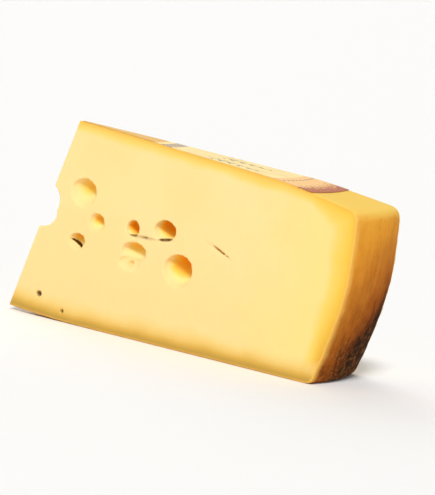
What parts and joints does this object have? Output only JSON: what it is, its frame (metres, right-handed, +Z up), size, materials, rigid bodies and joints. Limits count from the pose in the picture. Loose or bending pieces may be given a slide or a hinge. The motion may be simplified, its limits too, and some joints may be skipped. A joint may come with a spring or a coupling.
{
  "type": "alpine cheese wedge",
  "caption": "Long wedge of pale hard alpine cheese cut from a round wheel, with eyes in its cut faces, a smooth amber rind and its sector of a paper label on top.",
  "frame": {"origin": "middle of the wedge's box, on the flat bottom that it rests on", "axes": "+X along the middle of the wedge from its thin nose to its rind heel, +Y towards the back cut face, +Z up through the labelled top"},
  "size_m": [0.1568, 0.0602, 0.084],
  "materials": {
    "cheese": "satin pale yellow cheese paste, amber and brown at the rind",
    "label_paper": "matte cream printed paper"
  },
  "bodies": {
    "root": {"cheese_wedge": "cheese", "paper_label": "label_paper"}
  },
  "joints": []
}
